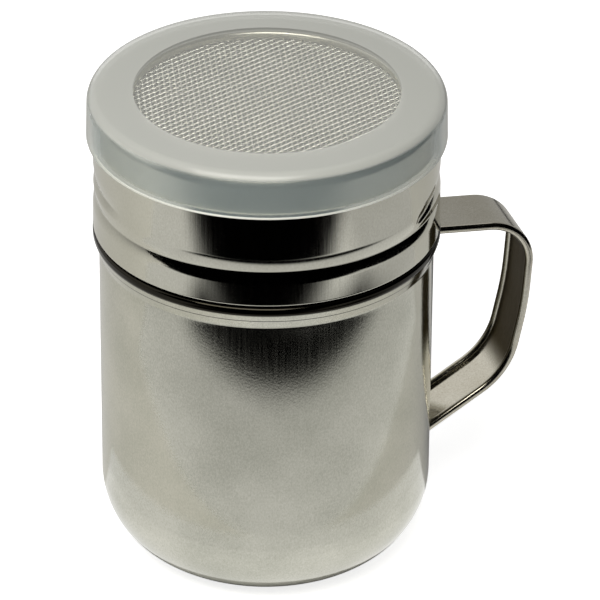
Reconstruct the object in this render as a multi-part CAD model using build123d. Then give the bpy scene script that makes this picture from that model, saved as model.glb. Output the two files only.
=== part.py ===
"""Stainless steel spice shaker with a strap handle, a screw lid with a woven wire screen, and a
push-on plastic dust cover.

Millimetres, +Z up, origin at the centre of the cup's base. Every round piece is turned about Z, and
the strap handle stands out from the cup at handle_azimuth, counted from +X towards +Y.
"""
import os
from math import atan2, sqrt, tan

from build123d import *

# ---- Cup: one deep-drawn sheet, with a drawn-in neck for the lid ----------------------------------
body_radius = 35.0            # outside of the straight wall
body_wall = 0.5
base_corner_reach = 15.2      # how far in from the wall the rounded base corner starts
base_corner_height = 16.5     # how high the rounded base corner ends
shoulder_height = 75.4        # the level top of the stop bead, at the foot of the neck
bead_height = 5.1             # from where the bead leaves the wall up to the shoulder
bead_face_length = 1.4        # the bead's upright face, from the shoulder down
bead_stand = 1.3              # how far the bead stands out from the wall
bead_foot_radius = 3.0        # the bend from the wall into the bead's slope
bead_crest_radius = 1.2       # from the slope into the upright face
bead_edge_radius = 0.6        # over the bead's upper edge
neck_foot_radius = 0.4        # from the shoulder up into the neck
neck_step = 0.5               # the neck is this much smaller than the wall
neck_length = 27.03           # shoulder to the top of the rim
rim_curl_radius = 0.7         # the rim's rolled edge, as a closed curl inside the neck

# ---- Handle: a strap with both edges rolled in, spot-welded to the cup by two tongues ---------------
handle_azimuth = 17.5         # degrees
strap_width = 13.9
strap_thickness = 0.7
strap_roll_radius = 0.9       # the rolled edges
handle_top_drop = 3.4         # the strap's outer face at the wall, below the cup's shoulder
handle_shoulder_stand = 22.9  # outer corner between the top run and the grip, out from the wall
handle_shoulder_drop = 1.9    # that corner below the strap's top
handle_grip_stand = 21.55     # the middle of the grip, which is slightly bowed
handle_grip_drop = 22.2
handle_elbow_stand = 18.1     # outer corner between the grip and the lower run
handle_elbow_drop = 38.9
handle_foot_drop = 51.2       # the lower run's outer face at the wall, below the strap's top
shoulder_bend_radius = 10.5
grip_bow_radius = 70.0
elbow_bend_radius = 17.0
tongue_width = 8.6
tongue_length = 10.0
tongue_thickness = 0.7
tongue_corner_radius = 1.8
spot_weld_radius = 1.5
spot_weld_depth = 0.12
trim_allowance = 1.5          # how far a blank runs into the cup before it is trimmed to the wall

# ---- Screw lid: a pressed cap with an open top ------------------------------------------------------
skirt_gap = 0.45              # skirt's lower edge above the cup's shoulder
skirt_side_gap = 1.3          # inside of the skirt to the neck, room for the thread
lid_wall = 0.4
skirt_taper = 0.25            # the skirt is this much smaller at the top
thread_groove_rise = 7.75     # the pressed-in thread groove above the skirt's lower edge
thread_groove_width = 5.6
thread_groove_depth = 0.45
lid_corner_radius = 3.0
top_flange_width = 8.25       # from the skirt in to the round window over the screen
lip_bend_radius = 0.9         # where the top turns down around the window
lip_depth = 1.55              # how far the screen lies below the top

# ---- Screen and the ring under it -------------------------------------------------------------------
wire_diameter = 0.36
warp_pitch = 1.14
weft_pitch = 0.9              # the weft is beaten closer than the warp
warp_angle = 95.7             # direction of the warp wires, degrees from +X
weft_angle = 2.9              # the cloth is drawn a little out of square
screen_overlap = 3.8          # how far the screen reaches under the lip
wire_gap = 0.01               # between the two layers of straight wires
clamp_gap = 0.05              # screen to lip, and screen to ring
ring_thickness = 0.6
ring_setback = 0.9            # the ring's inner edge back from the lip
ring_radial_gap = 0.15        # ring to the inside of the lid
ring_roll_radius = 0.6        # the ring's inner edge, rolled down
rim_gap = 0.2                 # cup's rim to the ring

# ---- Dust cover: moulded soft plastic ---------------------------------------------------------------
cover_top_gap = 0.2           # cover to the top of the lid
cover_side_gap = 0.34         # cover to the lid's skirt, at the top
cover_top_thickness = 0.8
cover_wall = 0.9
cover_height = 9.94
cover_flare = 0.2             # the cover is this much wider at its lower edge
cover_corner_radius = 2.0     # outside
cover_inner_corner_radius = 1.1

# ---- Levels and radii that follow from them ---------------------------------------------------------
bead_start_height = shoulder_height - bead_height
bead_face_height = shoulder_height - bead_face_length
bead_radius = body_radius + bead_stand
handle_top_height = shoulder_height - handle_top_drop
handle_foot_height = handle_top_height - handle_foot_drop
neck_radius = body_radius - neck_step
skirt_radius = neck_radius + skirt_side_gap + lid_wall
lid_top_radius = skirt_radius - skirt_taper
opening_radius = lid_top_radius - top_flange_width
screen_radius = opening_radius + screen_overlap
ring_inner_radius = opening_radius + ring_setback
rim_height = shoulder_height + neck_length
ring_base = rim_height + rim_gap
ring_top = ring_base + ring_thickness
lower_wires = ring_top + clamp_gap + wire_diameter / 2
upper_wires = lower_wires + wire_diameter + wire_gap
lip_base = upper_wires + wire_diameter / 2 + clamp_gap
lid_top = lip_base + lip_depth
skirt_base = shoulder_height + skirt_gap
hem_height = skirt_base + lid_wall
cover_underside = lid_top + cover_top_gap
cover_top = cover_underside + cover_top_thickness
cover_base = cover_top - cover_height
cover_top_radius = lid_top_radius + cover_side_gap + cover_wall
quarter_turn = 90             # degrees of arc


def turned(*edges):
    """The solid of revolution about Z of a closed outline drawn as (radius, height)."""
    return revolve(Plane.XZ * make_face(edges), Axis.Z)


def turned_ring(radius, height, section_radius):
    """A ring of round section, such as a rolled edge."""
    section = Plane.XZ * Pos(radius, height) * Circle(section_radius)
    return revolve(section, Axis.Z)


def cup_outline(inset, top):
    """The cup's outline from the axis up its neck to top, moved into the metal by inset."""
    wall = body_radius - inset
    crest = bead_radius - inset
    neck = neck_radius - inset
    shoulder = shoulder_height - inset
    base_flat = body_radius - base_corner_reach
    bead_slope = atan2(bead_stand, bead_face_height - bead_start_height)
    lift = inset * tan(bead_slope / 2)
    upper_part = FilletPolyline(
        (wall, base_corner_height),
        (wall, bead_start_height + lift),
        (crest, bead_face_height + lift),
        (crest, shoulder),
        (neck, shoulder),
        (neck, top),
        radius=[
            bead_foot_radius + inset,
            bead_crest_radius - inset,
            bead_edge_radius - inset,
            neck_foot_radius + inset,
        ],
    )
    return [
        Line((0, inset), (base_flat, inset)),
        EllipticalCenterArc(
            (base_flat, base_corner_height),
            base_corner_reach - inset,
            base_corner_height - inset,
            start_angle=-quarter_turn,
            arc_size=quarter_turn,
        ),
        *upper_part.edges(),
    ]


def make_cup_body():
    """The drawn cup, open at the top, with a closed curl inside its rim."""
    curl_height = rim_height - rim_curl_radius
    shell = turned(
        *cup_outline(0, curl_height),
        Line((neck_radius, curl_height), (neck_radius - body_wall, curl_height)),
        *cup_outline(body_wall, curl_height),
        Line((0, body_wall), (0, 0)),
    )
    curl = turned_ring(neck_radius - rim_curl_radius, curl_height, rim_curl_radius)
    return shell + curl


def make_cup_envelope():
    """The space that the closed cup takes up, to trim the handle against."""
    return turned(
        *cup_outline(0, rim_height),
        Line((neck_radius, rim_height), (0, rim_height)),
        Line((0, rim_height), (0, 0)),
    )


def handle_path():
    """The strap's outer face seen from the side, run into the wall at both ends."""
    inside_wall = body_radius - trim_allowance
    corners = [
        (handle_shoulder_stand, handle_shoulder_drop),
        (handle_grip_stand, handle_grip_drop),
        (handle_elbow_stand, handle_elbow_drop),
    ]
    return Plane.XZ * FilletPolyline(
        (inside_wall, handle_top_height),
        *[(body_radius + stand, handle_top_height - drop) for stand, drop in corners],
        (inside_wall, handle_foot_height),
        radius=[shoulder_bend_radius, grip_bow_radius, elbow_bend_radius],
    )


def strap_section():
    """The strap across its width: a flat web between two rolled edges, below the outer face."""
    roll_offset = strap_width / 2 - strap_roll_radius
    section = Pos(0, -strap_thickness / 2) * Rectangle(2 * roll_offset, strap_thickness)
    for side in (-1, 1):
        section += Pos(side * roll_offset, -strap_roll_radius) * Circle(strap_roll_radius)
    return section


def make_tongue(centre_height):
    """A weld tongue with its spot weld's dimple, run into the cup so that trimming seats it."""
    face_radius = body_radius + tongue_thickness
    inside_wall = body_radius - trim_allowance
    centre = Plane(origin=(inside_wall, 0, centre_height), x_dir=(0, 1, 0), z_dir=(1, 0, 0))
    blank = centre * RectangleRounded(tongue_width, tongue_length, tongue_corner_radius)
    barrel = Pos(0, 0, centre_height) * Cylinder(face_radius, tongue_length)
    weld = Plane(origin=(face_radius - spot_weld_depth, 0, centre_height), z_dir=(1, 0, 0))
    dimple = extrude(weld * Circle(spot_weld_radius), amount=tongue_thickness)
    return (extrude(blank, amount=face_radius - inside_wall) & barrel) - dimple


def make_handle():
    """The strap, trimmed to the cup and joined to its two tongues inside the finger gap."""
    path = handle_path()
    start = Plane(origin=path @ 0, x_dir=(0, 1, 0), z_dir=path % 0)
    strap = sweep(start * strap_section(), path=path)
    top_tongue = make_tongue(handle_top_height - strap_thickness / 2 - tongue_length / 2)
    foot_tongue = make_tongue(handle_foot_height + strap_thickness / 2 + tongue_length / 2)
    handle = (strap + top_tongue + foot_tongue) - make_cup_envelope()
    return Rot(0, 0, handle_azimuth) * handle


def lid_skirt_radius(height):
    """Outside radius of the tapered skirt at a height."""
    share = (height - hem_height) / (lid_top - lid_corner_radius - hem_height)
    return skirt_radius - skirt_taper * share


def lid_outline(inset):
    """The lid's outline from its hem to the lip, moved into the metal by inset."""
    groove = skirt_base + thread_groove_rise
    low = groove - thread_groove_width / 2
    high = groove + thread_groove_width / 2
    corner = lid_top - lid_corner_radius
    corner_centre = lid_top_radius - lid_corner_radius
    lip_corner = (opening_radius + lip_bend_radius, lid_top - lip_bend_radius)
    return [
        Line((skirt_radius - inset, hem_height + inset), (lid_skirt_radius(low) - inset, low)),
        ThreePointArc(
            (lid_skirt_radius(low) - inset, low),
            (lid_skirt_radius(groove) - thread_groove_depth - inset, groove),
            (lid_skirt_radius(high) - inset, high),
        ),
        Line((lid_skirt_radius(high) - inset, high), (lid_top_radius - inset, corner)),
        CenterArc((corner_centre, corner), lid_corner_radius - inset, 0, quarter_turn),
        Line((corner_centre, lid_top - inset), (lip_corner[0], lid_top - inset)),
        CenterArc(lip_corner, lip_bend_radius - inset, quarter_turn, quarter_turn),
        Line((opening_radius + inset, lip_corner[1]), (opening_radius + inset, lip_base)),
    ]


def make_lid_shell():
    """The pressed cap: hem, skirt with thread groove, rounded shoulder, flat top, turned-down lip."""
    hem_centre = (skirt_radius - lid_wall, hem_height)
    return turned(
        *lid_outline(0),
        Line((opening_radius, lip_base), (opening_radius + lid_wall, lip_base)),
        *lid_outline(lid_wall),
        CenterArc(hem_centre, lid_wall, quarter_turn, 3 * quarter_turn),
    )


def make_wires(angle, pitch, height):
    """One layer of the screen's wires, each as long as the round blank is there."""
    reach = int((screen_radius - pitch / 2) / pitch)
    wires = []
    for index in range(-reach, reach + 1):
        offset = index * pitch
        length = 2 * sqrt(screen_radius**2 - offset**2)
        wire = Rot(0, 90, 0) * Cylinder(wire_diameter / 2, length)
        wires.append(Rot(0, 0, angle) * Pos(0, offset, height) * wire)
    return Compound(children=wires)


def make_retaining_ring():
    """The flat ring that clamps the screen from below, its inner edge rolled down."""
    inner_lid = lid_top_radius - lid_wall
    outer = inner_lid - ring_radial_gap
    flat = turned(
        Line((ring_inner_radius + ring_roll_radius, ring_base), (outer, ring_base)),
        Line((outer, ring_base), (outer, ring_top)),
        Line((outer, ring_top), (ring_inner_radius + ring_roll_radius, ring_top)),
        Line(
            (ring_inner_radius + ring_roll_radius, ring_top),
            (ring_inner_radius + ring_roll_radius, ring_base),
        ),
    )
    roll = turned_ring(ring_inner_radius + ring_roll_radius, ring_top - ring_roll_radius, ring_roll_radius)
    return flat + roll


def cover_outline(inset, top, corner_radius):
    """The cover's outline from its lower edge to the axis, for the outside or the inside."""
    base_radius = cover_top_radius + cover_flare - inset
    top_radius = cover_top_radius - inset
    corner = (top_radius - corner_radius, top - corner_radius)
    return [
        Line((base_radius, cover_base), (top_radius, top - corner_radius)),
        CenterArc(corner, corner_radius, 0, quarter_turn),
        Line((top_radius - corner_radius, top), (0, top)),
    ]


def make_dust_cover():
    """The shallow cap that pushes on over the top of the lid."""
    base_radius = cover_top_radius + cover_flare
    return turned(
        *cover_outline(0, cover_top, cover_corner_radius),
        Line((0, cover_top), (0, cover_underside)),
        *cover_outline(cover_wall, cover_underside, cover_inner_corner_radius),
        Line((base_radius - cover_wall, cover_base), (base_radius, cover_base)),
    )


parts = {
    "cup_body": make_cup_body(),
    "handle": make_handle(),
    "lid_shell": make_lid_shell(),
    "screen_warp_wires": make_wires(warp_angle, warp_pitch, lower_wires),
    "screen_weft_wires": make_wires(weft_angle, weft_pitch, upper_wires),
    "screen_retaining_ring": make_retaining_ring(),
    "dust_cover": make_dust_cover(),
}

os.makedirs("parts", exist_ok=True)
for name, shape in parts.items():
    export_step(shape, f"parts/{name}.step")
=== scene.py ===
"""Looks for the steel spice shaker: turned meshes for the cup, lid and cover, a woven screen, steel
and frosted plastic, and the studio around it. Metres, +Z up, the cup's axis on Z, the front at -Y.
"""
from math import cos, pi, radians, sin, sqrt
from types import SimpleNamespace

import bpy
import numpy as np
from mathutils import Matrix, Vector


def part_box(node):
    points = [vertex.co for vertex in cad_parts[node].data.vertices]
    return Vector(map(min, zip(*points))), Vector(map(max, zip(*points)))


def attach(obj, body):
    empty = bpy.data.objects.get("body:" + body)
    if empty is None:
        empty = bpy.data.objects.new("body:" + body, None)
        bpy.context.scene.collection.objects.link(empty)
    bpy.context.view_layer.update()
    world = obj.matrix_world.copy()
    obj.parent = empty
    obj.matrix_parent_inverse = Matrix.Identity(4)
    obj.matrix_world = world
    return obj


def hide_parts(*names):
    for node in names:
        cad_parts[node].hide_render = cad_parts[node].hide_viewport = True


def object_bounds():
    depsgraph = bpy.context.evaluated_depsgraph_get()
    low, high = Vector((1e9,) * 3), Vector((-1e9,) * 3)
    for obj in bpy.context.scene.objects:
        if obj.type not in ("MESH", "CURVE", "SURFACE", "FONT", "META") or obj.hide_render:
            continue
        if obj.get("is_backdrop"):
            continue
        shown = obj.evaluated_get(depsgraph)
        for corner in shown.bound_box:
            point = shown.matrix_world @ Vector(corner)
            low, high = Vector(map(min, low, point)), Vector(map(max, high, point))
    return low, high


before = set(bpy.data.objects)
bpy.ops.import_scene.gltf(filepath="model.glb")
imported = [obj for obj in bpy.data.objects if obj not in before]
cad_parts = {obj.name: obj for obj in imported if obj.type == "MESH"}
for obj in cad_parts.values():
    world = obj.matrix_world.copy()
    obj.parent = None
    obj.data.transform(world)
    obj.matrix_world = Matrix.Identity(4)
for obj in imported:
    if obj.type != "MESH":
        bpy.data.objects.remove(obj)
cad_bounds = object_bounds()

MM = 0.001
AROUND = 360                          # steps around a turned piece

# ---- Cup, as in the solids, with the thread on its neck ----------------------------------------
body_radius = 35.0 * MM
body_wall = 0.5 * MM
base_corner_reach = 15.2 * MM
base_corner_height = 16.5 * MM
shoulder_height = 75.4 * MM
bead_start = shoulder_height - 5.1 * MM
bead_face = shoulder_height - 1.4 * MM
bead_stand = 1.3 * MM
bead_bends = [1.5 * MM, 1.2 * MM, 0.6 * MM, 0.4 * MM]
neck_radius = body_radius - 0.5 * MM
rim_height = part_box("cup_body")[1].z
rim_curl_radius = 0.7 * MM
# Painted shade: a dark band painted in the gap between the lid's hem and the cup's bead.
painted_seam_shade = (shoulder_height - 1.65 * MM, shoulder_height + 0.6 * MM)   # heights, from and to
painted_seam_shade_soft = 0.4 * MM
# Painted shade: a thin dark stripe painted across the bead's bright lower slope.
painted_bead_stripe = (shoulder_height - 3.3 * MM, shoulder_height - 3.2 * MM)
painted_bead_stripe_soft = 0.1 * MM
handle_azimuth = radians(17.5)        # from +X towards +Y

# ---- Lid ---------------------------------------------------------------------------------------
lid_low, lid_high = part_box("lid_shell")
skirt_base = lid_low.z
lid_top = lid_high.z
skirt_radius = lid_high.x
lid_wall = 0.4 * MM
skirt_taper = 0.25 * MM
lid_corner_radius = 3.0 * MM
top_flange_width = 8.25 * MM
lip_bend_radius = 0.9 * MM
lip_depth = 1.55 * MM
lid_top_radius = skirt_radius - skirt_taper
opening_radius = lid_top_radius - top_flange_width
lip_base = lid_top - lip_depth

# The pressed thread: a turn that is level round the front, and a second one that starts above it at
# the right and goes round the back. Each has points of (degrees, millimetres up) and the degrees
# that it fades over at its start and at its end.
thread_paths = [
    ([(-190, 83.6), (-28, 83.6), (0, 84.2)], (14, 30)),
    ([(-33, 84.9), (-20, 87.0), (-8, 87.9), (218, 87.9)], (5, 14)),
]
thread_reach = (2.6 * MM, 3.3 * MM)   # below and above its deepest line
thread_depth = 0.5 * MM
neck_thread_rise = 2.9 * MM           # the neck's ridge above the lid's groove
neck_thread_stand = 0.45 * MM
neck_thread_half_width = 1.3 * MM

# ---- Screen ------------------------------------------------------------------------------------
wire_diameter = 0.36 * MM
warp = (radians(95.7), 1.14 * MM)     # direction and pitch
weft = (radians(2.9), 0.90 * MM)
screen_radius = opening_radius + 3.8 * MM
wire_sides = 8
steps_per_crossing = 6

# ---- Dust cover --------------------------------------------------------------------------------
cover_low, cover_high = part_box("dust_cover")
cover_base = cover_low.z
cover_top = cover_high.z
cover_base_radius = cover_high.x
cover_flare = 0.2 * MM
cover_wall = 0.9 * MM
cover_top_thickness = 0.8 * MM
cover_corner_radius = 2.4 * MM
cover_inner_corner_radius = 1.5 * MM
cover_edge_radius = 0.3 * MM
cover_rub_height = 0.8 * MM           # the lid is dull from this far above the cover's lower edge
window_radius = 27.3 * MM             # the clearer window in the cover's top
window_edge_width = 0.6 * MM
# The frosting up here is real; the lighter haze painted over it is painted light.
frost_depths = (1.9 * MM, 0.9 * MM)   # below the top, where the frosting starts and is full
# The cover is denser along its cut lower edge, where a painted highlight also runs.
cut_edge_highlight_heights = (0.05 * MM, 0.25 * MM)   # above the base, where its bright line fades out

# ---- Studio ------------------------------------------------------------------------------------
floor_half_width = 3.0
card_lift = 1 * MM                    # the floor cards lie this far above the floor
flag_lift = 2 * MM
flag_reach = 2.0
room_radius = 1.6                     # to the upright cards around the table
paper_front = -0.168                  # the white paper ends and the black flags start
paper_right = 0.235
paper_centre = (-0.014, 0.066)        # of the arcs that the shade on the paper follows
shade_reach = (0.13, 0.36)
shade_span = (0.13, 0.235)            # distances from that centre where the stops start and end
shade_stops = [(0, 0.8), (0.2, 0.73), (0.5, 0.64), (0.58, 0.33), (0.64, 0), (0.84, 0), (1, 0.85)]
shade_left = (-0.135, -0.100)         # the shade turns grey over these stretches of X
shade_left_level = 0.74
shade_right = (0.135, 0.170)
shade_right_level = 0.58
shade_front = (-0.163, -0.123)        # and it fades to black over this stretch of Y
near_glow_angles = (-197, 17)
near_glow_rings = [                   # inner radius, outer radius and level
    (30 * MM, 46 * MM, 0.98),
    (46 * MM, 55 * MM, 0.93),
    (55 * MM, 64 * MM, 0.86),
]
softbox_place = (-0.10, -0.31, 0.56)
softbox_aim = (0, 0, 0.05)
softbox_size = (0.5, 0.35)
softbox_watts = 3.4


# ---- Outlines ----------------------------------------------------------------------------------
def arc(centre, radii, start, end, steps):
    """Points on an elliptical arc in (radius, height), angles in degrees."""
    angles = np.radians(np.linspace(start, end, steps + 1))
    return [(centre[0] + radii[0] * cos(a), centre[1] + radii[1] * sin(a)) for a in angles]


def run(start, end, steps):
    """Points on a straight stretch without its first point."""
    return [
        (start[0] + (end[0] - start[0]) * i / steps, start[1] + (end[1] - start[1]) * i / steps)
        for i in range(1, steps + 1)
    ]


def bent(corners, radii, steps=8):
    """Points along a polyline whose inner corners are rounded, without its first point."""
    corners = [np.array(corner) for corner in corners]
    points = []
    for before, corner, after, radius in zip(corners, corners[1:], corners[2:], radii):
        back = (before - corner) / np.linalg.norm(before - corner)
        ahead = (after - corner) / np.linalg.norm(after - corner)
        half = np.arccos(back @ ahead) / 2
        centre = corner + (back + ahead) / np.linalg.norm(back + ahead) * radius / sin(half)
        first = corner + back * radius / np.tan(half) - centre
        last = corner + ahead * radius / np.tan(half) - centre
        turn = np.arctan2(first[0] * last[1] - first[1] * last[0], first @ last)
        for share in np.linspace(0, turn, steps + 1):
            swung = (
                first[0] * cos(share) - first[1] * sin(share),
                first[0] * sin(share) + first[1] * cos(share),
            )
            points.append((centre[0] + swung[0], centre[1] + swung[1]))
    points.append(tuple(corners[-1]))
    return points


# ---- Meshes ------------------------------------------------------------------------------------
def new_piece(name, vertices, faces, sharp_angle):
    """A smooth-shaded mesh object whose edges over sharp_angle degrees stay sharp."""
    mesh = bpy.data.meshes.new(name)
    mesh.from_pydata([tuple(v) for v in vertices], [], faces)
    mesh.validate()
    mesh.shade_smooth()
    mesh.set_sharp_from_angle(angle=radians(sharp_angle))
    piece = bpy.data.objects.new(name, mesh)
    bpy.context.scene.collection.objects.link(piece)
    return piece


def lathe(name, outline, offset=None):
    """Turns a closed outline about Z. Points on the axis become poles, and offset(angle, radius,
    height) moves a point outwards."""
    vertices = []
    rings = []
    for radius, height in outline:
        if radius < 1e-7:
            rings.append([len(vertices)] * AROUND)
            vertices.append((0, 0, height))
            continue
        rings.append(list(range(len(vertices), len(vertices) + AROUND)))
        for step in range(AROUND):
            angle = 2 * pi * step / AROUND
            reach = radius + (offset(angle, radius, height) if offset else 0)
            vertices.append((reach * cos(angle), reach * sin(angle), height))
    faces = []
    for index, ring in enumerate(rings):
        following = rings[(index + 1) % len(rings)]
        for step in range(AROUND):
            side = (step + 1) % AROUND
            corners = [ring[step], ring[side], following[side], following[step]]
            face = list(dict.fromkeys(corners))
            if len(face) > 2:
                faces.append(face)
    return new_piece(name, vertices, faces, sharp_angle=50)


def smoothstep(x):
    """Rises smoothly from 0 to 1 as x does."""
    x = min(max(x, 0), 1)
    return x * x * (3 - 2 * x)


def thread_turns(angle):
    """Height and strength of each turn of the thread that passes an angle."""
    for path, fades in thread_paths:
        degrees, heights = zip(*path)
        for turn in (-360, 0, 360):
            along = np.degrees(angle) + turn
            if degrees[0] <= along <= degrees[-1]:
                strength = smoothstep((along - degrees[0]) / fades[0])
                strength *= smoothstep((degrees[-1] - along) / fades[1])
                yield np.interp(along, degrees, heights) * MM, strength


def lid_thread(angle, radius, height):
    """The pressed groove: a crease with soft shoulders."""
    depth = 0
    for centre, strength in thread_turns(angle):
        away = abs(height - centre) / thread_reach[int(height > centre)]
        if away < 1:
            depth = max(depth, strength * thread_depth * (1 - away) ** 1.6)
    return -depth


def neck_thread(angle, radius, height):
    """The ridge on the neck that the lid's groove hooks under."""
    if height < shoulder_height or radius < neck_radius - body_wall * 1.5:
        return 0
    stand = 0
    for centre, strength in thread_turns(angle):
        away = abs(height - centre - neck_thread_rise) / neck_thread_half_width
        if away < 1:
            stand = max(stand, strength * neck_thread_stand * cos(away * pi / 2) ** 2)
    return stand


def bead_outline(inset, top):
    """The stop bead from the wall up to top on the neck, moved into the metal by inset."""
    wall = body_radius - inset
    crest = wall + bead_stand
    neck = neck_radius - inset
    lift = inset * np.tan(np.arctan2(bead_stand, bead_face - bead_start) / 2)
    corners = [
        (wall, base_corner_height),
        (wall, bead_start + lift),
        (crest, bead_face + lift),
        (crest, shoulder_height - inset),
        (neck, shoulder_height - inset),
        (neck, top),
    ]
    signs = (1, -1, -1, 1)   # a bend centred outside the cup grows with the inset, others shrink
    return bent(corners, [bend + sign * inset for bend, sign in zip(bead_bends, signs)])


def cup_outline():
    """The cup's outside from the axis to the rim's curl, and back down its inside."""
    flat = body_radius - base_corner_reach
    inner = body_radius - body_wall
    inner_neck = neck_radius - body_wall
    curl = (neck_radius - rim_curl_radius, rim_height - rim_curl_radius)
    corner = (flat, base_corner_height)
    wall_end = bead_start - 1.0 * MM
    neck_start = shoulder_height + 0.6 * MM
    outside = [(0, 0)] + run((0, 0), (flat, 0), 6)
    outside += arc(corner, (base_corner_reach, base_corner_height), -90, 0, 32)[1:]
    outside += run((body_radius, base_corner_height), (body_radius, wall_end), 40)
    outside += bead_outline(0, neck_start)
    outside += run((neck_radius, neck_start), (neck_radius, curl[1]), 90)
    rolled = arc(curl, (rim_curl_radius, rim_curl_radius), 0, 250, 20)[1:]
    inside = [(inner_neck, rolled[-1][1] - 0.4 * MM)]
    inside += run(inside[0], (inner_neck, neck_start), 90)
    inside += bead_outline(body_wall, neck_start)[-2::-1]
    inside += run((inner, wall_end), (inner, base_corner_height), 10)
    inner_radii = (base_corner_reach - body_wall, base_corner_height - body_wall)
    inside += arc(corner, inner_radii, 0, -90, 24)[1:]
    inside += run((flat, body_wall), (0, body_wall), 6)
    return outside + rolled + inside


def lid_outline():
    """The lid's outside from the hem to the lip, and back along its inside."""
    inner_skirt = skirt_radius - lid_wall
    corner = (lid_top_radius - lid_corner_radius, lid_top - lid_corner_radius)
    lip = (opening_radius + lip_bend_radius, lid_top - lip_bend_radius)
    hem = (inner_skirt, skirt_base + lid_wall)
    points = arc(hem, (lid_wall, lid_wall), -270, 0, 24)
    points += run(points[-1], (lid_top_radius, corner[1]), 150)
    points += arc(corner, (lid_corner_radius, lid_corner_radius), 0, 90, 20)[1:]
    points += run(points[-1], (lip[0], lid_top), 10)
    points += arc(lip, (lip_bend_radius, lip_bend_radius), 90, 180, 12)[1:]
    points += run(points[-1], (opening_radius, lip_base), 4)
    points += run(points[-1], (opening_radius + lid_wall, lip_base), 1)
    points += run(points[-1], (opening_radius + lid_wall, lip[1]), 4)
    inner_lip = lip_bend_radius - lid_wall
    points += arc(lip, (inner_lip, inner_lip), 180, 90, 8)[1:]
    points += run(points[-1], (corner[0], lid_top - lid_wall), 10)
    inner_corner = lid_corner_radius - lid_wall
    points += arc(corner, (inner_corner, inner_corner), 90, 0, 16)[1:]
    points += run(points[-1], (inner_skirt, hem[1] + lid_wall), 150)[:-1]
    return points


def cover_outline():
    """The cover's outside from its lower edge to the axis, and back along its inside."""
    top_radius = cover_base_radius - cover_flare
    corner = (top_radius - cover_corner_radius, cover_top - cover_corner_radius)
    underside = cover_top - cover_top_thickness
    inner_top = top_radius - cover_wall
    inner = (inner_top - cover_inner_corner_radius, underside - cover_inner_corner_radius)
    edge = cover_edge_radius
    outer_edge = (cover_base_radius - edge, cover_base + edge)
    inner_edge = (cover_base_radius - cover_wall + edge, cover_base + edge)
    points = arc(inner_edge, (edge, edge), 180, 270, 6)
    points += arc(outer_edge, (edge, edge), -90, 0, 6)
    points += run(points[-1], (top_radius, corner[1]), 12)
    points += arc(corner, (cover_corner_radius, cover_corner_radius), 0, 90, 20)[1:]
    points += run(points[-1], (0, cover_top), 16)
    points += [(0, underside)]
    points += run(points[-1], (inner[0], underside), 16)
    points += arc(inner, (cover_inner_corner_radius, cover_inner_corner_radius), 90, 0, 12)[1:]
    points += run(points[-1], (cover_base_radius - cover_wall, outer_edge[1]), 12)[:-1]
    return points


def wire_tube(path):
    """Vertices and faces of a round wire along a path of points, with closed ends."""
    path = np.array(path)
    tangent = np.gradient(path, axis=0)
    tangent /= np.linalg.norm(tangent, axis=1)[:, None]
    side = np.cross(tangent, (0, 0, 1))
    side /= np.linalg.norm(side, axis=1)[:, None]
    lift = np.cross(side, tangent)
    vertices = []
    for step in range(wire_sides):
        turn = 2 * pi * step / wire_sides
        vertices.append(path + wire_diameter / 2 * (cos(turn) * side + sin(turn) * lift))
    vertices = np.stack(vertices, axis=1).reshape(-1, 3)
    faces = []
    for ring in range(len(path) - 1):
        near = ring * wire_sides
        far = near + wire_sides
        for step in range(wire_sides):
            following = (step + 1) % wire_sides
            faces.append([near + step, far + step, far + following, near + following])
    faces.append(list(range(wire_sides)))
    faces.append(list(range(len(vertices) - wire_sides, len(vertices)))[::-1])
    return vertices, faces


def weave(name, wires, others, first_over):
    """One set of the cloth's wires, each bent over and under the wires of the other set."""
    level = (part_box("screen_warp_wires")[0].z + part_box("screen_weft_wires")[1].z) / 2
    angle, pitch = wires
    other_angle, other_pitch = others
    along = np.array((cos(angle), sin(angle), 0))
    across = np.array((-sin(angle), cos(angle), 0))
    other_across = np.array((-sin(other_angle), cos(other_angle), 0))
    crossing = other_pitch / (along @ other_across)
    slant = (across @ other_across) / (along @ other_across)
    count = int((screen_radius - pitch / 2) / pitch)
    vertices, faces = [], []
    for index in range(-count, count + 1):
        offset = index * pitch
        half = sqrt(screen_radius**2 - offset**2)
        steps = max(4, int(2 * half / abs(crossing) * steps_per_crossing))
        path = []
        for step in range(steps + 1):
            place = -half + 2 * half * step / steps
            phase = (place + slant * offset) / crossing
            swing = cos(pi * (phase + index)) * (1 if first_over else -1)
            rise = wire_diameter / 2 * swing
            path.append(along * place + across * offset + np.array((0, 0, level + rise)))
        wire_vertices, wire_faces = wire_tube(path)
        faces += [[i + len(vertices) for i in face] for face in wire_faces]
        vertices += list(wire_vertices)
    return new_piece(name, vertices, faces, sharp_angle=180)


# ---- Materials ---------------------------------------------------------------------------------
def node(tree, kind, values=None, **settings):
    """A new node with its settings and input values."""
    made = tree.nodes.new(kind)
    for key, value in settings.items():
        setattr(made, key, value)
    for key, value in (values or {}).items():
        made.inputs[key].default_value = value
    return made


def new_material(name):
    """A material, its tree and its shader."""
    material = bpy.data.materials.new(name)
    material.use_nodes = True
    tree = material.node_tree
    return material, tree, tree.nodes["Principled BSDF"]


def stretched_noise(tree, scale, noise_scale):
    """Noise over the object's own coordinates, stretched by the mapping's scale."""
    place = node(tree, "ShaderNodeTexCoord")
    mapping = node(tree, "ShaderNodeMapping", {"Scale": scale})
    noise = node(tree, "ShaderNodeTexNoise", {"Scale": noise_scale, "Detail": 3.0})
    tree.links.new(place.outputs["Object"], mapping.inputs["Vector"])
    tree.links.new(mapping.outputs["Vector"], noise.inputs["Vector"])
    return noise.outputs["Fac"]


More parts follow.
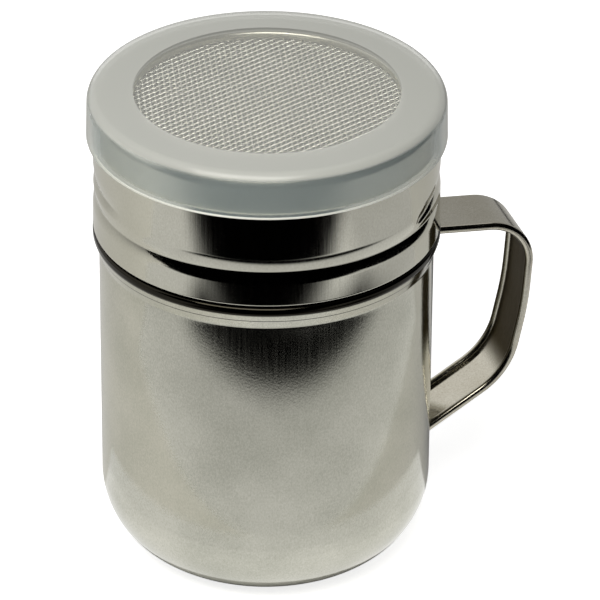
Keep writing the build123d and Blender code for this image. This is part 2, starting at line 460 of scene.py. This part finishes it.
def ramp(tree, source, low, high):
    """A colour ramp between two (position, colour) ends."""
    made = node(tree, "ShaderNodeValToRGB")
    for stop, (position, colour) in zip(made.color_ramp.elements, (low, high)):
        stop.position = position
        stop.color = (*colour, 1)
    tree.links.new(source, made.inputs["Fac"])
    return made.outputs["Color"]


def spread(tree, source, low, high):
    """Maps a noise's middle range to a range of values."""
    return map_range(tree, source, (0.3, low), (0.7, high), "LINEAR")


def add_bump(tree, source, distance, previous=None):
    """A normal bent by a height, on top of a previous one."""
    bump = node(tree, "ShaderNodeBump", {"Strength": 1.0, "Distance": distance})
    tree.links.new(source, bump.inputs["Height"])
    if previous:
        tree.links.new(previous, bump.inputs["Normal"])
    return bump.outputs["Normal"]


def average(tree, first, second):
    """The value halfway between two."""
    made = node(tree, "ShaderNodeMix", {"Factor": 0.5})
    tree.links.new(first, made.inputs["A"])
    tree.links.new(second, made.inputs["B"])
    return made.outputs["Result"]


def map_range(tree, source, start, end, kind="SMOOTHSTEP"):
    """Maps a value between two (from, to) pairs."""
    made = node(
        tree,
        "ShaderNodeMapRange",
        {"From Min": start[0], "From Max": end[0], "To Min": start[1], "To Max": end[1]},
        interpolation_type=kind,
    )
    tree.links.new(source, made.inputs["Value"])
    return made.outputs["Result"]


def combine(tree, operation, first, second):
    """The result of a math operation on two values."""
    made = node(tree, "ShaderNodeMath", operation=operation)
    for source, socket in ((first, made.inputs[0]), (second, made.inputs[1])):
        tree.links.new(source, socket)
    return made.outputs[0]


def object_height(tree):
    """The height of the shaded point, as built."""
    place = node(tree, "ShaderNodeTexCoord")
    parts = node(tree, "ShaderNodeSeparateXYZ")
    tree.links.new(place.outputs["Object"], parts.inputs["Vector"])
    return parts.outputs["Z"]


def band(tree, low, high, soft):
    """1 between two heights, and 0 from a soft edge's width outside them."""
    height = object_height(tree)
    rising = map_range(tree, height, (low - soft, 0), (low, 1))
    falling = map_range(tree, height, (high, 1), (high + soft, 0))
    return combine(tree, "MULTIPLY", rising, falling)


def tinted(tree, colour, mask, other):
    """A colour that turns into another one where the mask is 1."""
    made = node(tree, "ShaderNodeMix", data_type="RGBA")
    first, second = made.inputs[6], made.inputs[7]   # its colour sockets
    tree.links.new(mask, made.inputs["Factor"])
    tree.links.new(colour, first)
    second.default_value = (*other, 1)
    return made.outputs[2]


def steel(name, tint_low, tint_high, roughness, grain_depth, peel_depth):
    """Drawn or pressed stainless steel: clouded tint, fine grain lines and a faint orange peel.
    Returns the material, its tree and shader, and the sockets of its tint, polish and grain."""
    material, tree, shader = new_material(name)
    shader.inputs["Metallic"].default_value = 1.0
    clouds = stretched_noise(tree, (1, 1, 1), 60)
    lines = stretched_noise(tree, (1, 1, 0.04), 2600)
    peel = stretched_noise(tree, (1, 1, 0.6), 3200)
    tint = ramp(tree, average(tree, clouds, peel), (0.35, tint_low), (0.65, tint_high))
    polish = spread(tree, lines, *roughness)
    grain = add_bump(tree, lines, grain_depth)
    tree.links.new(tint, shader.inputs["Base Color"])
    tree.links.new(polish, shader.inputs["Roughness"])
    tree.links.new(add_bump(tree, peel, peel_depth, grain), shader.inputs["Normal"])
    return SimpleNamespace(
        material=material, tree=tree, shader=shader, tint=tint, polish=polish, grain=grain
    )


def cup_steel():
    """Satin steel, with painted shade in the gap under the lid's hem and a thin dark stripe painted
    across the bead's slope as painted shade.
    """
    made = steel(
        "cup_satin_steel",
        tint_low=(0.44, 0.44, 0.37),
        tint_high=(0.61, 0.60, 0.52),
        roughness=(0.08, 0.12),
        grain_depth=0.005 * MM,
        peel_depth=0.008 * MM,
    )
    tree = made.tree
    # Painted shade in the gap under the lid's hem.
    seam_shade = band(tree, *painted_seam_shade, painted_seam_shade_soft)
    # A thin stripe of painted shade across the bead's slope.
    bead_stripe_shade = band(tree, *painted_bead_stripe, painted_bead_stripe_soft)
    tint = tinted(tree, made.tint, seam_shade, (0.022, 0.020, 0.015))
    tint = tinted(tree, tint, bead_stripe_shade, (0.11, 0.11, 0.10))
    tree.links.new(tint, made.shader.inputs["Base Color"])
    return made.material


def lid_steel():
    """Bright brushed steel, dulled above where the cover rubs on it."""
    made = steel(
        "lid_bright_steel",
        tint_low=(0.53, 0.52, 0.44),
        tint_high=(0.62, 0.61, 0.53),
        roughness=(0.06, 0.11),
        grain_depth=0.006 * MM,
        peel_depth=0.001 * MM,
    )
    tree = made.tree
    height = object_height(tree)
    rub_top = cover_base + cover_rub_height
    rubbed = map_range(tree, height, (cover_base, 0), (rub_top, 1))
    dulled = node(tree, "ShaderNodeMix", {"B": 0.29})
    tree.links.new(rubbed, dulled.inputs["Factor"])
    tree.links.new(made.polish, dulled.inputs["A"])
    tree.links.new(dulled.outputs["Result"], made.shader.inputs["Roughness"])
    worn = map_range(tree, height, (cover_base, 1), (rub_top, 0.1))
    tree.links.new(worn, made.grain.node.inputs["Strength"])
    return made.material


def handle_steel():
    """Pressed strap. Its faces turned towards the cup are rougher, and painted dark brown as a
    painted shade for the dark reflection that they show.
    """
    made = steel(
        "handle_steel",
        tint_low=(0.44, 0.41, 0.33),
        tint_high=(0.58, 0.56, 0.48),
        roughness=(0.10, 0.18),
        grain_depth=0.001 * MM,
        peel_depth=0.002 * MM,
    )
    tree = made.tree
    place = node(tree, "ShaderNodeTexCoord")
    inward = node(tree, "ShaderNodeVectorMath", operation="DOT_PRODUCT")
    inward.inputs[1].default_value = (-cos(handle_azimuth), -sin(handle_azimuth), 0)
    tree.links.new(place.outputs["Normal"], inward.inputs[0])
    # Painted shade: the faces turned towards the cup get a dark brown tint for the dark reflection
    # they show.
    inside = map_range(tree, inward.outputs["Value"], (0.7, 0), (0.92, 1))
    tint = tinted(tree, made.tint, inside, (0.06, 0.045, 0.02))
    dulled = map_range(tree, inside, (0, 0), (1, 0.4), "LINEAR")
    tree.links.new(tint, made.shader.inputs["Base Color"])
    tree.links.new(combine(tree, "ADD", made.polish, dulled), made.shader.inputs["Roughness"])
    return made.material


def wire_steel():
    """Drawn wire, a little brighter than the sheets."""
    made = steel(
        "wire_steel",
        tint_low=(0.56, 0.56, 0.50),
        tint_high=(0.66, 0.66, 0.60),
        roughness=(0.14, 0.22),
        grain_depth=0.001 * MM,
        peel_depth=0.001 * MM,
    )
    return made.material


def frosted_plastic():
    """Translucent milky plastic: a haze over what lies behind, denser at a glancing view, around
    the clearer window in its top and where the lower edge is cut. Its frosted top's haze is painted
    lighter, as painted light from above, and a painted highlight runs along the cut edge."""
    material, tree, shader = new_material("frosted_plastic")
    clouds = stretched_noise(tree, (1, 1, 1), 90)
    haze = ramp(tree, clouds, (0.3, (0.53, 0.63, 0.645)), (0.7, (0.56, 0.66, 0.675)))
    height = object_height(tree)
    place = node(tree, "ShaderNodeTexCoord")
    flat = node(tree, "ShaderNodeVectorMath", operation="MULTIPLY")
    flat.inputs[1].default_value = (1, 1, 0)
    reach = node(tree, "ShaderNodeVectorMath", operation="LENGTH")
    tree.links.new(place.outputs["Object"], flat.inputs[0])
    tree.links.new(flat.outputs["Vector"], reach.inputs[0])
    window_end = window_radius + window_edge_width
    outside = map_range(tree, reach.outputs["Value"], (window_radius, 0), (window_end, 0.8))
    frost_start, frost_full = [cover_top - depth for depth in frost_depths]
    frosting_and_top_light = map_range(tree, height, (frost_start, 0), (frost_full, 1))
    ring = combine(tree, "MULTIPLY", outside, frosting_and_top_light)
    cut_start, cut_end = [cover_base + rise for rise in cut_edge_highlight_heights]
    edge = map_range(tree, height, (cut_start, 0.95), (cut_end, 0))
    weight = node(tree, "ShaderNodeLayerWeight", {"Blend": 0.5})
    glancing = map_range(tree, weight.outputs["Facing"], (0.6, 0.18), (0.85, 0.9))
    dense = combine(tree, "MAXIMUM", glancing, combine(tree, "MAXIMUM", ring, edge))
    tree.links.new(dense, shader.inputs["Alpha"])
    haze = tinted(tree, haze, glancing, (0.52, 0.53, 0.49))
    # Painted light: the frosted top's haze is painted lighter, as if lit from above.
    haze = tinted(tree, haze, frosting_and_top_light, (0.76, 0.77, 0.73))
    haze = tinted(tree, haze, ring, (0.44, 0.45, 0.42))
    # A painted highlight along the cut lower edge.
    haze = tinted(tree, haze, edge, (0.92, 0.91, 0.84))
    tree.links.new(haze, shader.inputs["Base Color"])
    shader.inputs["IOR"].default_value = 1.5
    tree.links.new(spread(tree, clouds, 0.17, 0.23), shader.inputs["Roughness"])
    normal = add_bump(tree, stretched_noise(tree, (1, 1, 1), 500), 0.002 * MM)
    tree.links.new(normal, shader.inputs["Normal"])
    return material


def paint(piece, material):
    """Gives a piece one material, in place of those it has."""
    piece.data.materials.clear()
    piece.data.materials.append(material)


# ---- The object --------------------------------------------------------------------------------
def make_object():
    """Builds and dresses every piece, and gives the two kept nodes their steel."""
    cup_material = cup_steel()
    lid_material = lid_steel()
    handle_material = handle_steel()
    wire_material = wire_steel()
    cover_material = frosted_plastic()

    cup = lathe("cup", cup_outline(), neck_thread)
    lid = lathe("lid", lid_outline(), lid_thread)
    cover = lathe("cover", cover_outline())
    screen_warp = weave("screen_warp", warp, weft, True)
    screen_weft = weave("screen_weft", weft, warp, False)
    dressed = [
        (cup, "cup", "cup_body", "cup_steel", cup_material),
        (lid, "lid", "lid_shell", "lid_steel", lid_material),
        (cover, "cover", "dust_cover", "cover_plastic", cover_material),
        (screen_warp, "lid", "screen_warp_wires", "screen_wire", wire_material),
        (screen_weft, "lid", "screen_weft_wires", "screen_wire", wire_material),
    ]
    for piece, body, replaced, slot, material in dressed:
        paint(piece, material)
        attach(piece, body)
        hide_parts(replaced)
    kept = [("handle", handle_material), ("screen_retaining_ring", lid_material)]
    for name, material in kept:
        for material_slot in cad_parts[name].material_slots:
            material_slot.material = material


# ---- The studio --------------------------------------------------------------------------------
def seen_rays(tree):
    """1 for camera, glossy and transmission rays, and 0 for the rest."""
    rays = node(tree, "ShaderNodeLightPath").outputs
    direct = combine(tree, "MAXIMUM", rays["Is Camera Ray"], rays["Is Glossy Ray"])
    return combine(tree, "MAXIMUM", direct, rays["Is Transmission Ray"])


def plane(name, corners, material):
    """A flat piece of the studio."""
    mesh = bpy.data.meshes.new(name)
    mesh.from_pydata(corners, [], [tuple(range(len(corners)))])
    piece = bpy.data.objects.new(name, mesh)
    bpy.context.scene.collection.objects.link(piece)
    mesh.materials.append(material)
    piece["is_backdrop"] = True
    return piece


def floor_material():
    """White paper that still takes the object's shadow."""
    material, tree, shader = new_material("white_paper")
    shader.inputs["Base Color"].default_value = (0.8, 0.8, 0.8, 1)
    shader.inputs["Roughness"].default_value = 0.9
    shader.inputs["Specular IOR Level"].default_value = 0.0
    glow = node(tree, "ShaderNodeEmission", {"Strength": 0.75})
    both = node(tree, "ShaderNodeAddShader")
    mix = node(tree, "ShaderNodeMixShader")
    tree.links.new(shader.outputs[0], both.inputs[0])
    tree.links.new(glow.outputs[0], both.inputs[1])
    path = node(tree, "ShaderNodeLightPath")
    tree.links.new(path.outputs["Is Camera Ray"], mix.inputs[0])
    tree.links.new(shader.outputs[0], mix.inputs[1])
    tree.links.new(both.outputs[0], mix.inputs[2])
    tree.links.new(mix.outputs[0], tree.nodes["Material Output"].inputs["Surface"])
    return material


def glowing(name, level=0.0):
    """A material that only glows, its tree and its emission node."""
    material = bpy.data.materials.new(name)
    material.use_nodes = True
    tree = material.node_tree
    tree.nodes.clear()
    glow = node(tree, "ShaderNodeEmission", {"Strength": level})
    end = node(tree, "ShaderNodeOutputMaterial")
    tree.links.new(glow.outputs[0], end.inputs["Surface"])
    return material, tree, glow


def shade_material():
    """The look of the paper in front: bright near the object, then a dark arc, then bright again.
    It turns grey at its left and right, and black at its front."""
    material, tree, glow = glowing("front_shade")
    place = node(tree, "ShaderNodeTexCoord")
    away = node(tree, "ShaderNodeVectorMath", operation="DISTANCE")
    away.inputs[1].default_value = (*paper_centre, card_lift)
    tree.links.new(place.outputs["Object"], away.inputs[0])
    start, end = shade_span
    span = map_range(tree, away.outputs["Value"], (start, 0), (end, 1), "LINEAR")
    fade = node(tree, "ShaderNodeValToRGB")
    elements = fade.color_ramp.elements
    while len(elements) < len(shade_stops):
        elements.new(0.5)
    for element, (position, level) in zip(elements, shade_stops):
        element.position = position
        element.color = (level, level, level, 1)
    tree.links.new(span, fade.inputs["Fac"])
    parts = node(tree, "ShaderNodeSeparateXYZ")
    tree.links.new(place.outputs["Object"], parts.inputs["Vector"])
    left = map_range(tree, parts.outputs["X"], (shade_left[0], 1), (shade_left[1], 0))
    right = map_range(tree, parts.outputs["X"], (shade_right[0], 0), (shade_right[1], 1))
    shade = tinted(tree, fade.outputs["Color"], left, (shade_left_level,) * 3)
    shade = tinted(tree, shade, right, (shade_right_level,) * 3)
    near = map_range(tree, parts.outputs["Y"], (shade_front[0], 0), (shade_front[1], 1))
    tree.links.new(combine(tree, "MULTIPLY", shade, near), glow.inputs["Strength"])
    return material


def card(name, corners, look):
    """A card that only glossy reflections show, as a studio's flag or reflector. Its look is a
    material, or a level of even brightness."""
    material = look if isinstance(look, bpy.types.Material) else glowing(name, look)[0]
    piece = plane(name, corners, material)
    piece.visible_camera = False
    piece.visible_diffuse = False
    piece.visible_shadow = False
    piece.visible_transmission = False


def floor_card(name, centre, reach, angles, look):
    """A card on the floor between two radii about a centre, from one angle from +X to another."""
    corners = []
    for radius, turn in zip(reach, (angles, angles[::-1])):
        for angle in np.radians(np.linspace(*turn, 25)):
            x = centre[0] + radius * cos(angle)
            y = centre[1] + radius * sin(angle)
            corners.append((x, y, card_lift))
    card(name, corners, look)


def room_wall(name, start, end, top, level):
    """Upright cards around the table from one azimuth to another, counted from the front to the
    right, each about 10 degrees wide."""
    steps = max(1, round(abs(end - start) / 10))
    for step in range(steps):
        sides = [radians(start + (end - start) * (step + i) / steps) for i in (0, 1)]
        feet = [(room_radius * sin(side), -room_radius * cos(side)) for side in sides]
        corners = [(*feet[0], 0), (*feet[1], 0), (*feet[1], top), (*feet[0], top)]
        card(f"{name}_{step}", corners, level)


def make_cards():
    """The floor and the cards whose reflections the steel shows."""
    size = floor_half_width
    corners = [(-size, -size, 0), (size, -size, 0), (size, size, 0), (-size, size, 0)]
    plane("floor", corners, floor_material())
    front, right, far = paper_front, paper_right, flag_reach
    flags = [
        ("front_flag", [(-far, front), (far, front), (far, -far), (-far, -far)]),
        ("right_flag", [(right, front), (far, front), (far, far), (right, far)]),
    ]
    for name, corners in flags:
        card(name, [(*corner, flag_lift) for corner in corners], 0)
    floor_card("front_shade", paper_centre, shade_reach, (-145, -8), shade_material())
    floor_card("back_shade", centre=(0, 0), reach=(0.037, 0.15), angles=(56, 76), look=0.15)
    for index, (start, end, level) in enumerate(near_glow_rings):
        floor_card(f"near_glow_{index}", (0, 0), (start, end), near_glow_angles, level)
    room_wall("dark_room", start=-70, end=126, top=6.0, level=0.0)
    room_wall("grey_room", start=126, end=179, top=2.6, level=0.45)
    room_wall("back_wall", start=179, end=200, top=2.6, level=0.75)


def make_world():
    """White all round, dimmer for the light that it casts than where it is seen."""
    world = bpy.data.worlds.new("studio")
    bpy.context.scene.world = world
    world.use_nodes = True
    tree = world.node_tree
    background = tree.nodes["Background"]
    strength = map_range(tree, seen_rays(tree), (0, 0.3), (1, 1.0), "LINEAR")
    tree.links.new(strength, background.inputs["Strength"])
    background.inputs["Color"].default_value = (1, 1, 1, 1)


def make_softbox():
    """A warm softbox above the front, a little to the left."""
    lamp = bpy.data.lights.new("softbox", "AREA")
    lamp.shape = "RECTANGLE"
    lamp.size, lamp.size_y = softbox_size
    lamp.energy = softbox_watts
    lamp.color = (1.0, 0.98, 0.93)
    softbox = bpy.data.objects.new("softbox", lamp)
    bpy.context.scene.collection.objects.link(softbox)
    softbox.location = softbox_place
    toward = Vector(softbox_aim) - softbox.location
    softbox.rotation_euler = toward.to_track_quat("-Z", "Y").to_euler()
    softbox.visible_camera = False


def make_camera():
    """A long lens that looks down 30 degrees from the front."""
    distance = 1.053
    elevation = radians(30.31)
    roll = radians(0.468)
    target = Vector((0.0071, 0, 0.05647))
    camera_data = bpy.data.cameras.new("camera")
    camera_data.lens = 300
    camera_data.sensor_width = 36
    camera = bpy.data.objects.new("camera", camera_data)
    bpy.context.scene.collection.objects.link(camera)
    back = Vector((0, -cos(elevation), sin(elevation)))
    turn = Matrix.Rotation(pi / 2 - elevation, 4, "X") @ Matrix.Rotation(roll, 4, "Z")
    camera.matrix_world = Matrix.Translation(target + distance * back) @ turn
    bpy.context.scene.camera = camera


make_object()
make_cards()
make_world()
make_softbox()
make_camera()
bpy.context.scene.view_settings.view_transform = "Standard"

boxes = {"cad": cad_bounds, "visual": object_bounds()}
{key: [list(corner) for corner in box] for key, box in boxes.items()}
